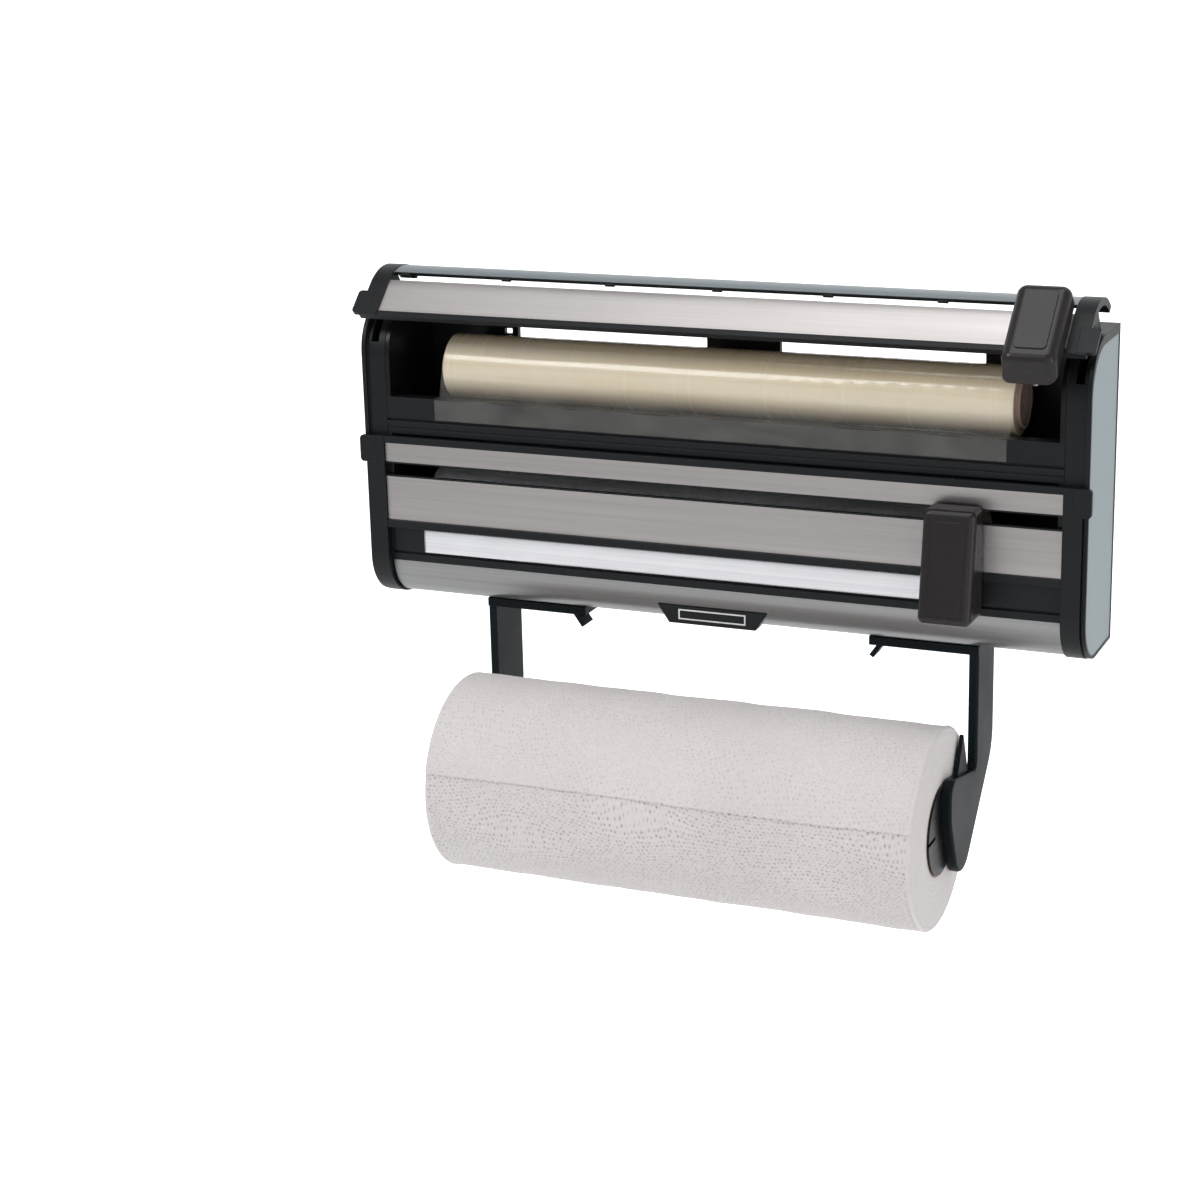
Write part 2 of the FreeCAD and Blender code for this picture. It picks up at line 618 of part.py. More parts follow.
def cutter_shell(outline, centre_x, rounding):
    """Rounded shell over a (y, z) outline, open at the back."""
    x0 = centre_x - CUTTER_WIDTH / 2
    x1 = centre_x + CUTTER_WIDTH / 2
    solid = prism(outline, x0, x1)
    front = [e for e in solid.Edges if e.CenterOfMass.y < CUTTER_BACK_Y - 1]
    solid = solid.makeFillet(rounding, front)
    return hollowed(solid, x0, x1)


def front_pad(centre_x, top, bottom):
    """Slightly raised thumb pad between two (y, z) points of the front face."""
    slope = (bottom[0] - top[0]) / (bottom[1] - top[1])
    high = top[1] - PAD_MARGIN
    low = bottom[1] + PAD_MARGIN
    high_y = top[0] - PAD_MARGIN * slope
    low_y = bottom[0] + PAD_MARGIN * slope
    half = CUTTER_WIDTH / 2 - PAD_MARGIN
    pad = prism([
        (high_y + 0.5, high),
        (low_y + 0.5, low),
        (low_y - PAD_LIFT, low),
        (high_y - PAD_LIFT, high),
    ], centre_x - half, centre_x + half)
    corners = edges_along(pad, V(0, 1, 0), lambda c: True)
    return pad.makeFillet(PAD_ROUND, corners)


def cutter_slider(centre_x, front_y, slot_bottom, slot_top):
    """Neck through the slot, with a shoe behind it."""
    neck = box(centre_x - NECK_HALF_WIDTH, centre_x + NECK_HALF_WIDTH,
               front_y + CUTTER_WALL + NECK_FRONT_GAP, SHOE_BACK_Y,
               slot_bottom + SLIDE_GAP, slot_top - SLIDE_GAP)
    shoe = box(centre_x - SHOE_HALF_WIDTH, centre_x + SHOE_HALF_WIDTH,
               FRONT_Y + FRAME_INNER + SLIDE_GAP, SHOE_BACK_Y,
               slot_bottom - SHOE_OVERLAP, slot_top + SHOE_OVERLAP)
    return neck.fuse(shoe)


def cutter_blade(centre_x, groove_z, root_y):
    """Pointed blade that reaches into the cutting groove."""
    low = groove_z - BLADE_DROP
    high = groove_z + BLADE_RISE
    outline = [
        (root_y, low),
        (root_y, high),
        (CUTTER_BACK_Y, high),
        (BLADE_TIP_Y, groove_z),
        (CUTTER_BACK_Y, low),
    ]
    return prism(outline, centre_x - BLADE_THICKNESS / 2, centre_x + BLADE_THICKNESS / 2)


def make_upper_cutter_shell():
    outline = [
        (CUTTER_BACK_Y, UPPER_CUTTER_BOTTOM_Z),
        (CUTTER_BACK_Y, UPPER_CUTTER_TOP_Z),
        (UPPER_CUTTER_FRONT_Y, UPPER_CUTTER_TOP_Z),
        (UPPER_CUTTER_FRONT_Y, UPPER_CUTTER_BEND_Z),
    ]
    shell = cutter_shell(outline, UPPER_CUTTER_X, UPPER_CUTTER_ROUND)
    return open_upper(shell.fuse(front_pad(UPPER_CUTTER_X, outline[2], outline[3])))


def make_upper_cutter_slider():
    slider = cutter_slider(UPPER_CUTTER_X, UPPER_CUTTER_FRONT_Y,
                           UPPER_SLOT_BOTTOM_Z, UPPER_NECK_TOP_Z)
    guard = d_solid(0, -FAR, FAR).cut(d_solid(FRAME_INNER + SLIDE_GAP, -FAR, FAR))
    neck_gap = slab(FAR, -FAR, 0, UPPER_SLOT_BOTTOM_Z + SLIDE_GAP, UPPER_NECK_TOP_Z - SLIDE_GAP)
    slider = slider.cut(guard.cut(neck_gap))
    return open_upper(slider)


def make_upper_cutter_blade():
    return open_upper(cutter_blade(UPPER_CUTTER_X, UPPER_GROOVE_Z, UPPER_BLADE_ROOT_Y))


def make_lower_cutter_shell():
    outline = [
        (CUTTER_BACK_Y, LOWER_CUTTER_BOTTOM_Z),
        (CUTTER_BACK_Y, LOWER_CUTTER_TOP_Z),
        (LOWER_CUTTER_TOP_Y, LOWER_CUTTER_TOP_Z),
        (LOWER_CUTTER_CHIN_Y, LOWER_CUTTER_BOTTOM_Z),
    ]
    shell = cutter_shell(outline, LOWER_CUTTER_X, LOWER_CUTTER_ROUND)
    return shell.fuse(front_pad(LOWER_CUTTER_X, outline[2], outline[3]))


def make_lower_cutter_slider():
    return cutter_slider(LOWER_CUTTER_X, LOWER_CUTTER_TOP_Y, LOWER_SLOT_BOTTOM_Z, LOWER_SLOT_TOP_Z)


def make_lower_cutter_blade():
    return cutter_blade(LOWER_CUTTER_X, LOWER_GROOVE_Z, LOWER_BLADE_ROOT_Y)


# ==== rolls ===============================================================
def web(cy, cz, radius, rail_top_z, end_z, x_range):
    """Short length of sheet from a roll, over its rail to the cutting groove."""
    low_z = rail_top_z + WEB_GAP
    high_z = low_z + WEB_THICKNESS
    in_y = RAIL_FRONT_Y - WEB_GAP
    out_y = in_y - WEB_THICKNESS
    bend_y = RAIL_BACK_Y - 1.5
    near_y, near_z = tangent_point(cy, cz, radius + WEB_GAP, bend_y, low_z, -1)
    far_y, far_z = tangent_point(cy, cz, radius + WEB_GAP + WEB_THICKNESS, bend_y, high_z, -1)
    outline = [
        (near_y, near_z),
        (bend_y, low_z),
        (in_y, low_z),
        (in_y, end_z),
        (out_y, end_z),
        (out_y, high_z),
        (bend_y, high_z),
        (far_y, far_z),
    ]
    return prism(outline, x_range[0], x_range[1])


def make_film_web():
    end_z = UPPER_GROOVE_Z + GROOVE_HEIGHT / 2
    return web(FILM_Y, FILM_Z, FILM_RADIUS, UPPER_RAIL_TOP_Z, end_z, FILM_X)


def make_foil_web():
    end_z = LOWER_GROOVE_Z + GROOVE_HEIGHT / 2
    return web(FOIL_Y, FOIL_Z, FOIL_RADIUS, LOWER_RAIL_TOP_Z, end_z, FOIL_X)


def make_film_core():
    return tube(FILM_Y, FILM_Z, FILM_CORE_RADIUS, FILM_BORE_RADIUS, FILM_X[0] - 2, FILM_X[1] + 2)


def make_film_spool():
    return tube(FILM_Y, FILM_Z, FILM_RADIUS, FILM_CORE_RADIUS, FILM_X[0], FILM_X[1])


def make_foil_core():
    return tube(FOIL_Y, FOIL_Z, FOIL_CORE_RADIUS, FOIL_BORE_RADIUS, FOIL_X[0] - 2, FOIL_X[1] + 2)


def make_foil_spool():
    return tube(FOIL_Y, FOIL_Z, FOIL_RADIUS, FOIL_CORE_RADIUS, FOIL_X[0], FOIL_X[1])


def make_paper_core():
    half = PAPER_HALF_LENGTH
    return tube(PAPER_Y, PAPER_Z, PAPER_CORE_RADIUS, PAPER_BORE_RADIUS, -half, half)


def make_paper_roll():
    half = PAPER_HALF_LENGTH
    return tube(PAPER_Y, PAPER_Z, PAPER_RADIUS, PAPER_CORE_RADIUS, -half, half)


# ==== roll arms ===========================================================
def arm_plate():
    """Flat leg that ends in a forward lobe beside the roll."""
    plate = prism([
        (LEG_BACK_Y, FOOT_TOP_Z),
        (LEG_FRONT_Y, FOOT_TOP_Z),
        (LEG_FRONT_Y, SHOULDER_Z),
        (LOBE_FRONT_Y, BROW_Z),
        (LOBE_FRONT_Y, LOBE_CHEEK_Z),
        (LOBE_TIP_Y, LOBE_TIP_Z),
        (LEG_BACK_Y, LEG_BACK_END_Z),
    ], ARM_PLATE_IN_X, ARM_PLATE_OUT_X)
    corners = [
        (LEG_FRONT_Y, SHOULDER_Z, ARMPIT_RADIUS),
        (LOBE_FRONT_Y, BROW_Z, BROW_RADIUS),
        (LOBE_FRONT_Y, LOBE_CHEEK_Z, CHEEK_RADIUS),
        (LOBE_TIP_Y, LOBE_TIP_Z, TIP_RADIUS),
        (LEG_BACK_Y, LEG_BACK_END_Z, BACK_BEND_RADIUS),
    ]
    for y, z, radius in corners:
        corner = edges_along(plate, V(1, 0, 0), lambda c: math.hypot(c.y - y, c.z - z) < 0.5)
        plate = plate.makeFillet(radius, corner)
    rim = [e for e in plate.Edges
           if e.BoundBox.XMin > ARM_PLATE_OUT_X - 0.01 and e.CenterOfMass.z < FOOT_TOP_Z - 1]
    return plate.makeFillet(PLATE_ROUND, rim)


def guide_fin():
    """Thin pointed fin on the shoulder that steers the roll onto the hub."""
    return prism([
        FIN_TIP,
        (FIN_FOOT_Y[0], SHOULDER_Z - 1),
        (FIN_FOOT_Y[1], SHOULDER_Z - 1),
    ], ARM_PLATE_IN_X, ARM_PLATE_IN_X + FIN_THICKNESS)


def release_tab():
    """Small slanted finger tab under the inner end of the foot."""
    top = FOOT_TOP_Z - FOOT_THICKNESS
    x0 = FOOT_END_X + 4
    tab = box(x0, x0 + RELEASE_TAB_THICKNESS, FOOT_FRONT_Y, FOOT_FRONT_Y + RELEASE_TAB_DEPTH,
              top - RELEASE_TAB_LENGTH, top + 1)
    tab.rotate(V(x0 + 1, 0, top), V(0, 1, 0), RELEASE_TAB_DEG)
    return tab


def make_arm_right():
    foot = box(FOOT_END_X, ARM_PLATE_OUT_X, FOOT_FRONT_Y, FOOT_BACK_Y,
               FOOT_TOP_Z - FOOT_THICKNESS, FOOT_TOP_Z)
    head_z = BOTTOM_Z + WALL + LUG_GAP
    neck = box(LUG_X[0], LUG_X[1], LUG_Y - LUG_NECK_WIDTH / 2, LUG_Y + LUG_NECK_WIDTH / 2,
               FOOT_TOP_Z - 1, head_z + LUG_HEAD_THICKNESS)
    head = box(LUG_X[0], LUG_X[1], LUG_Y - LUG_HEAD_WIDTH / 2, LUG_Y + LUG_HEAD_WIDTH / 2,
               head_z, head_z + LUG_HEAD_THICKNESS)
    return arm_plate().fuse([foot, neck, head, release_tab(), guide_fin()])


def make_hub_right():
    """Short cup that carries one end of the paper core."""
    x0 = ARM_PLATE_IN_X - HUB_LENGTH
    cup = rod(PAPER_Y, PAPER_Z, HUB_RADIUS, x0, ARM_PLATE_IN_X)
    hollow = rod(PAPER_Y, PAPER_Z, HUB_RADIUS - HUB_WALL, x0 - 1, ARM_PLATE_IN_X - HUB_WALL)
    notch = box(x0 - 1, ARM_PLATE_IN_X + 1, PAPER_Y - HUB_RADIUS - 1, PAPER_Y - HUB_RADIUS / 2,
                PAPER_Z - HUB_NOTCH / 2, PAPER_Z + HUB_NOTCH / 2)
    return cup.cut([hollow, notch])


# ==== write the sub-parts =================================================
save("chassis", make_chassis())
end_cap = make_end_cap()
save("end_cap_right", end_cap)
save("end_cap_left", mirrored(end_cap))
end_panel = make_end_panel()
save("end_panel_right", end_panel)
save("end_panel_left", mirrored(end_panel))
save("upper_rail", make_upper_rail())
save("lower_rail", make_lower_rail())
save("lower_trim", make_lower_trim())
save("badge_plate", make_badge_plate())
save("hinge_pins", make_hinge_pins())

save("upper_flap_frame", make_upper_flap_frame())
save("upper_flap_panel", make_upper_flap_panel())
save("upper_flap_strip", make_upper_flap_strip())
save("lower_flap_frame", make_lower_flap_frame())
save("lower_flap_panel", make_lower_flap_panel())
save("lower_flap_strip", make_lower_flap_strip())

save("upper_cutter_shell", make_upper_cutter_shell())
save("upper_cutter_slider", make_upper_cutter_slider())
save("upper_cutter_blade", make_upper_cutter_blade())
save("lower_cutter_shell", make_lower_cutter_shell())
save("lower_cutter_slider", make_lower_cutter_slider())
save("lower_cutter_blade", make_lower_cutter_blade())

save("film_core", make_film_core())
save("film_spool", make_film_spool())
save("film_web", make_film_web())
save("foil_core", make_foil_core())
save("foil_spool", make_foil_spool())
save("foil_web", make_foil_web())
save("paper_core", make_paper_core())
save("paper_roll", make_paper_roll())

arm = make_arm_right()
save("arm_right", arm)
save("arm_left", mirrored(arm))
hub = make_hub_right()
save("hub_right", hub)
save("hub_left", mirrored(hub))
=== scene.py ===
"""Looks of the wall-mounted film, foil and kitchen-paper dispenser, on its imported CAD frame.

Frame: X along the rolls, Y into the wall, Z up, in metres. The front faces -Y.
"""

import json
import math

import bpy
import numpy as np
from mathutils import Matrix, Vector


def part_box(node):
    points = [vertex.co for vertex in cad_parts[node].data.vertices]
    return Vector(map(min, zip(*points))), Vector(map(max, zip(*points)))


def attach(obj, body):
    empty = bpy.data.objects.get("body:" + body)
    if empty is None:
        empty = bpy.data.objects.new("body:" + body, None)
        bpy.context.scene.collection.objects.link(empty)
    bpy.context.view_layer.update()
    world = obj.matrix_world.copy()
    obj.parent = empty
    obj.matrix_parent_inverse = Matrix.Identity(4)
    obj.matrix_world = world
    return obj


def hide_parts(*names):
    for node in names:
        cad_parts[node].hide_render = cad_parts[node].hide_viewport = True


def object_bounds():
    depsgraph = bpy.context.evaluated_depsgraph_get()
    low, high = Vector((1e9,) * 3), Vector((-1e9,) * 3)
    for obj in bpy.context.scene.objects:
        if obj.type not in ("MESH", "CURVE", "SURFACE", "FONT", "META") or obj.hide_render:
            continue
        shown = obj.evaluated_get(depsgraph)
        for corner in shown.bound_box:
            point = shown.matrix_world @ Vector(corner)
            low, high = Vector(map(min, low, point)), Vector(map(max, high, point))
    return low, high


MM = 0.001
FULL_TURN = 2 * np.pi

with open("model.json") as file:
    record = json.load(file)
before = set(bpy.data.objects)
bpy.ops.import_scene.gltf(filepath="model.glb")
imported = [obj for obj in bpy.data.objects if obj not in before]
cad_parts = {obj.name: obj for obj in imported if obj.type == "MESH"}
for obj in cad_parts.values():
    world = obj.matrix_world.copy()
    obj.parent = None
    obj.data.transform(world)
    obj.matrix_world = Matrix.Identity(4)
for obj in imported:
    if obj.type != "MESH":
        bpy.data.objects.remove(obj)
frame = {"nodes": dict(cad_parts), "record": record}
cad_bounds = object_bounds()
nodes = frame["nodes"]
rng = np.random.default_rng(24)


# ---------------------------------------------------------------- node helpers
MIX_FACTOR, MIX_A, MIX_B, MIX_RESULT = 0, 6, 7, 2    # colour sockets of the Mix node
BEVEL_SAMPLES = 4


def shade(color, factor, lift=0.0):
    """Colour made paler or darker, kept within white."""
    return tuple(min(1.0, c * factor + lift) for c in color)


class Shader:
    """A principled material with short helpers for procedural detail."""

    def __init__(self, name, color, roughness, metallic=0.0):
        self.mat = bpy.data.materials.new(name)
        self.mat.use_nodes = True
        self.tree = self.mat.node_tree
        self.bsdf = self.tree.nodes["Principled BSDF"]
        self.put("Base Color", (*color, 1.0))
        self.put("Roughness", roughness)
        self.put("Metallic", metallic)

    def feed(self, socket, value):
        """Link a node's output into the socket, or set its plain value."""
        if isinstance(value, bpy.types.NodeSocket):
            self.tree.links.new(value, socket)
        else:
            socket.default_value = value

    def put(self, socket, value):
        """Set or link one input of the principled shader."""
        self.feed(self.bsdf.inputs[socket], value)

    def node(self, kind, **inputs):
        """New node; underscores in an input's name stand for spaces."""
        made = self.tree.nodes.new("ShaderNode" + kind)
        for key, value in inputs.items():
            self.feed(made.inputs[key.replace("_", " ")], value)
        return made

    def place(self, scale):
        """Object coordinates times a scale, in features per metre along each axis."""
        where = self.node("TexCoord").outputs["Object"]
        return self.node("Mapping", Vector=where, Scale=scale).outputs["Vector"]

    def noise(self, scale, detail=3.0, rough=0.5, distortion=0.0):
        """Noise factor; scale is (x, y, z), or one number for all three."""
        if not isinstance(scale, tuple):
            scale = (scale, scale, scale)
        made = self.node("TexNoise", Vector=self.place(scale), Scale=1.0, Detail=detail,
                         Roughness=rough, Distortion=distortion)
        return made.outputs["Fac"]

    def span(self, value, low, high, from_low=0.3, from_high=0.7):
        """Value mapped from one range to another; most noise lies between 0.3 and 0.7."""
        made = self.node("MapRange", Value=value, From_Min=from_low, From_Max=from_high,
                         To_Min=low, To_Max=high)
        return made.outputs["Result"]

    def mix(self, factor, a, b):
        """Colour between a and b."""
        made = self.tree.nodes.new("ShaderNodeMix")
        made.data_type = "RGBA"
        for index, value in ((MIX_FACTOR, factor), (MIX_A, a), (MIX_B, b)):
            self.feed(made.inputs[index], (*value, 1.0) if isinstance(value, tuple) else value)
        return made.outputs[MIX_RESULT]

    def rounded(self, radius):
        """Normal with softly rounded edges."""
        made = self.node("Bevel", Radius=radius)
        made.samples = BEVEL_SAMPLES
        return made.outputs["Normal"]

    def bump(self, height, distance, strength=1.0, normal=None):
        """Normal of a surface whose height varies by up to the given distance."""
        made = self.node("Bump", Height=height, Distance=distance, Strength=strength)
        if normal is not None:
            self.feed(made.inputs["Normal"], normal)
        return made.outputs["Normal"]

    def edge(self, radius):
        """1 on convex and concave edges, 0 on flat faces."""
        dot = self.tree.nodes.new("ShaderNodeVectorMath")
        dot.operation = "DOT_PRODUCT"
        self.feed(dot.inputs[0], self.rounded(radius))
        self.feed(dot.inputs[1], self.node("NewGeometry").outputs["Normal"])
        return self.span(dot.outputs["Value"], 1.0, 0.0, 0.90, 0.995)


# ---------------------------------------------------------------- materials
# Noise scales are in features per metre; bump depths and edge radii are in metres.
def moulded_plastic(name, color, roughness, depth=0.03 * MM, edge_wear_and_highlight=0.25, coat=0.0, shine=0.5):
    """Injection-moulded plastic: fine spark texture, uneven gloss, edges paler from wear and
    from a painted highlight.
    """
    s = Shader(name, color, roughness)
    spark = s.noise(900, detail=2.0)
    broad = s.noise(22)
    # Paler edges, part real rubbed wear and part painted highlight, mixed in through the edge
    # mask.
    worn_and_lit_edges = s.node("Math", Value=s.edge(0.6 * MM))
    worn_and_lit_edges.operation = "MULTIPLY"
    worn_and_lit_edges.inputs[1].default_value = edge_wear_and_highlight
    tone = s.mix(s.span(broad, 0.0, 1.0, 0.1, 0.9), color, shade(color, 1.2))
    s.put("Base Color", s.mix(worn_and_lit_edges.outputs[0], tone, shade(color, 2.2, 0.012)))
    s.put("Roughness", s.span(broad, roughness * 0.75, roughness * 1.3, 0.1, 0.9))
    s.put("Normal", s.bump(spark, depth, 0.6, s.rounded(0.5 * MM)))
    s.put("Specular IOR Level", shine)
    s.put("Coat Weight", coat)
    s.put("Coat Roughness", 0.08)
    return s.mat


def brushed_steel(name, color, roughness):
    """Stainless sheet with its grain along the length of the part."""
    s = Shader(name, color, roughness, metallic=1.0)
    grain = s.noise((9, 1700, 1700), detail=4.0, rough=0.65)
    streak = s.noise((3, 260, 260))
    cloud = s.noise((7, 20, 20), detail=2.0)
    lined = s.mix(s.span(grain, 0.0, 1.0, 0.25, 0.75), shade(color, 0.80), color)
    s.put("Base Color", s.mix(s.span(streak, 0.0, 0.6), lined, shade(color, 1.12)))
    s.put("Roughness", s.span(cloud, roughness * 0.88, roughness * 1.15))
    s.put("Anisotropic", 0.7)
    s.put("Tangent", s.node("CombineXYZ", X=1.0).outputs["Vector"])
    s.put("Normal", s.bump(grain, 0.02 * MM, 0.35, s.rounded(0.3 * MM)))
    return s.mat


def satin_panel(name, color):
    """Painted side panel with a very fine texture and a faint tonal drift."""
    s = Shader(name, color, 0.42, metallic=0.25)
    drift = s.noise((5, 9, 9), detail=2.0)
    fine = s.noise(1400, detail=2.0)
    s.put("Base Color", s.mix(s.span(drift, 0.0, 1.0), shade(color, 0.90), shade(color, 1.07)))
    s.put("Roughness", s.span(drift, 0.36, 0.48))
    s.put("Normal", s.bump(fine, 0.02 * MM, 0.5, s.rounded(0.4 * MM)))
    return s.mat


def wound_film(name):
    """Clear stretch film wound many layers deep: cream to honey, glossy, finely banded, with
    painted shade deepening the colour towards the outline.
    """
    cream, honey, deep = (0.91, 0.82, 0.65), (0.79, 0.64, 0.42), (0.60, 0.42, 0.23)
    s = Shader(name, cream, 0.2)
    facing = s.node("LayerWeight", Blend=0.45).outputs["Facing"]
    bands = s.noise((4, 90, 90), detail=4.0, distortion=0.6)
    rings = s.noise((800, 12, 12), detail=2.0)
    body = s.mix(s.span(bands, 0.0, 0.75, 0.32, 0.68), cream, honey)
    # Painted shade: the colour deepens to dark honey where the roll is seen at a slant, towards
    # its outline.
    s.put("Base Color", s.mix(s.span(facing, 0.0, 0.85, 0.15, 0.95), body, deep))
    s.put("Roughness", s.span(rings, 0.12, 0.30))
    s.put("Subsurface Weight", 0.18)
    s.put("Subsurface Radius", (4 * MM, 3 * MM, 1.5 * MM))
    s.put("Subsurface Scale", 1.0)
    s.put("Normal", s.bump(rings, 0.04 * MM, 0.35, s.bump(bands, 0.3 * MM, 0.3)))
    s.put("Coat Weight", 0.45)
    s.put("Coat Roughness", 0.07)
    return s.mat


def clear_sheet(name):
    """Single layer of film: almost clear with a soft sheen."""
    s = Shader(name, (0.93, 0.90, 0.84), 0.12)
    ripple = s.noise((30, 60, 60), distortion=1.2)
    s.put("Alpha", s.span(ripple, 0.02, 0.07, 0.1, 0.9))
    s.put("Roughness", s.span(ripple, 0.08, 0.22))
    s.put("Normal", s.bump(ripple, 0.3 * MM, 0.5))
    return s.mat


def bright_foil(name):
    """Household foil: bright side out, long rolling lines and faint crinkles."""
    s = Shader(name, (0.94, 0.93, 0.97), 0.42, metallic=0.8)
    crinkle = s.noise((14, 70, 70), detail=4.0, distortion=0.6)
    rolled = s.noise((4, 900, 900))
    s.put("Roughness", s.span(crinkle, 0.34, 0.52))
    s.put("Base Color", s.mix(s.span(rolled, 0.0, 1.0), (0.86, 0.85, 0.90), (0.97, 0.97, 0.98)))
    s.put("Normal", s.bump(crinkle, 0.3 * MM, 0.25, s.bump(rolled, 0.02 * MM, 0.3)))
    return s.mat


def soft_tissue(name):
    """Absorbent paper: warm white, matt, felted, with painted shade darkening the pressed pits.
    """
    s = Shader(name, (0.79, 0.75, 0.745), 0.95)
    fibre = s.noise((1500, 700, 700), detail=4.0, rough=0.7)
    cloud = s.noise(18, detail=2.0)
    felt = s.noise(520, rough=0.6)
    smooth = s.mix(s.span(cloud, 0.0, 1.0), (0.71, 0.665, 0.655), (0.76, 0.72, 0.71))
    body = s.mix(s.span(felt, 0.0, 0.38), smooth, (0.60, 0.555, 0.545))
    # Painted shade: hollows found by pointiness are darkened towards a dusky brown.
    pit_shade = s.span(s.node("NewGeometry").outputs["Pointiness"], 1.0, 0.0, 0.43, 0.497)
    s.put("Base Color", s.mix(pit_shade, body, (0.36, 0.31, 0.30)))
    s.put("Subsurface Weight", 0.15)
    s.put("Subsurface Radius", (2 * MM, 1.6 * MM, 1.2 * MM))
    s.put("Subsurface Scale", 1.0)
    s.put("Sheen Weight", 0.1)
    s.put("Normal", s.bump(fibre, 0.12 * MM, 0.5, s.bump(felt, 0.4 * MM, 0.6)))
    return s.mat


def card_tube(name):
    """Spiral-wound grey-pink card."""
    s = Shader(name, (0.62, 0.44, 0.37), 0.85)
    wrap = s.node("TexWave", Vector=s.place((26, 26, 26)), Scale=1.0, Distortion=0.4)
    fibre = s.noise(900)
    seam = s.span(wrap.outputs["Fac"], 0.0, 1.0, 0.9, 1.0)
    card = s.mix(fibre, (0.55, 0.39, 0.33), (0.66, 0.48, 0.41))
    s.put("Base Color", s.mix(seam, card, (0.38, 0.27, 0.22)))
    s.put("Normal", s.bump(fibre, 0.08 * MM, 0.6))
    return s.mat


def ground_steel(name):
    """Hard bright steel of blades and pins with fine grinding lines."""
    s = Shader(name, (0.72, 0.72, 0.74), 0.16, metallic=1.0)
    lines = s.noise((2500, 300, 300), detail=2.0)
    s.put("Roughness", s.span(lines, 0.10, 0.28))
    s.put("Normal", s.bump(lines, 0.01 * MM, 0.4, s.rounded(0.2 * MM)))
    return s.mat


def printed_white(name):
    """Matt white print with slightly uneven cover."""
    s = Shader(name, (0.80, 0.80, 0.79), 0.5)
    cover = s.noise(700)
    s.put("Base Color", s.mix(s.span(cover, 0.0, 1.0), (0.70, 0.70, 0.69), (0.86, 0.86, 0.85)))
    s.put("Normal", s.bump(cover, 0.02 * MM, 0.3))
    return s.mat


materials = {
    "chassis_black": moulded_plastic("black_gloss", (0.004, 0.004, 0.005), 0.28,
                                     edge_wear_and_highlight=0.4, shine=0.28),
    "anthracite": moulded_plastic("anthracite", (0.0055, 0.0065, 0.0078), 0.40,
                                  edge_wear_and_highlight=0.3, shine=0.28),
    "cap_panel": satin_panel("cap_panel", (0.31, 0.375, 0.385)),
    "steel": brushed_steel("brushed_steel", (0.47, 0.445, 0.435), 0.34),
    "cutter_black": moulded_plastic("cutter_gloss", (0.020, 0.017, 0.018), 0.27,
                                    depth=0.01 * MM, edge_wear_and_highlight=0.3, coat=0.10, shine=0.25),
    "blade_steel": ground_steel("blade_steel"),
    "pin_steel": ground_steel("pin_steel"),
    "arm_plastic": moulded_plastic("arm_plastic", (0.0045, 0.0085, 0.0105), 0.36,
                                   edge_wear_and_highlight=0.35, shine=0.10),
    "cling_film": wound_film("wound_film"),
    "film_sheet": clear_sheet("film_sheet"),
    "foil": bright_foil("foil"),
    "card_core": card_tube("card_tube"),
    "tissue": soft_tissue("tissue"),
    "white_print": printed_white("white_print"),
    "strip": brushed_steel("strip_steel", (0.33, 0.37, 0.385), 0.38),
    "trim": brushed_steel("trim_steel", (0.33, 0.33, 0.33), 0.34),
}
finishes = {"upper_flap_strip": "strip", "lower_trim": "trim"}    # darker than their slot

for entry in frame["record"]["subparts"]:
    mesh = nodes[entry["node"]].data
    mesh.materials.clear()
    mesh.materials.append(materials[finishes.get(entry["node"], entry["material_slot"])])


# ---------------------------------------------------------------- mesh helpers
BORE_STEPS = 9


def make_piece(name, verts, faces, slot, body, replaces=()):
    """Smooth mesh piece that rides on a body and may stand for CAD nodes."""
    mesh = bpy.data.meshes.new(name)
    mesh.from_pydata([tuple(v) for v in verts], [], [tuple(f) for f in faces])
    mesh.update()
    mesh.polygons.foreach_set("use_smooth", [True] * len(mesh.polygons))
    piece = bpy.data.objects.new(name, mesh)
    bpy.context.scene.collection.objects.link(piece)
    mesh.materials.append(materials[slot])
    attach(piece, body)
    if replaces:
        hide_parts(*replaces)
    return piece


def grid_faces(rows, columns, close_rows, close_columns):
    """Quads of a rows x columns grid of vertices, as an array of indices."""
    i = np.arange(rows if close_rows else rows - 1)
    j = np.arange(columns if close_columns else columns - 1)
    a, b = np.meshgrid(i, j, indexing="ij")
    a, b = a.ravel(), b.ravel()
    c, d = (a + 1) % rows, (b + 1) % columns
    return np.stack([a * columns + b, a * columns + d, c * columns + d, c * columns + b], 1)


def revolve(name, profile, angles, axis, offset, slot, body, replaces=()):
    """Closed (x, radius) profile swept about an axis along X, with a radial offset field."""
    x, r = np.array(profile).T
    radius = r[:, None] + offset(x[:, None], r[:, None], angles[None, :])
    verts = np.stack([
        np.broadcast_to(x[:, None], radius.shape),
        axis.y + radius * np.cos(angles)[None, :],
        axis.z + radius * np.sin(angles)[None, :],
    ], -1).reshape(-1, 3)
    faces = grid_faces(len(x), len(angles), True, True)
    return make_piece(name, verts, faces, slot, body, replaces)


def waves(count, shortest, longest):
    """Smooth repeatable noise over (u, v): random sines between two wavelengths."""
    length = rng.uniform(shortest, longest, count)
    heading = rng.uniform(0, FULL_TURN, count)
    phase = rng.uniform(0, FULL_TURN, count)
    ku = FULL_TURN * np.cos(heading) / length
    kv = FULL_TURN * np.sin(heading) / length

    def field(u, v):
        total = 0.0
        for a, b, c in zip(ku, kv, phase):
            total = total + np.sin(a * u + b * v + c)
        return total / math.sqrt(count)
    return field


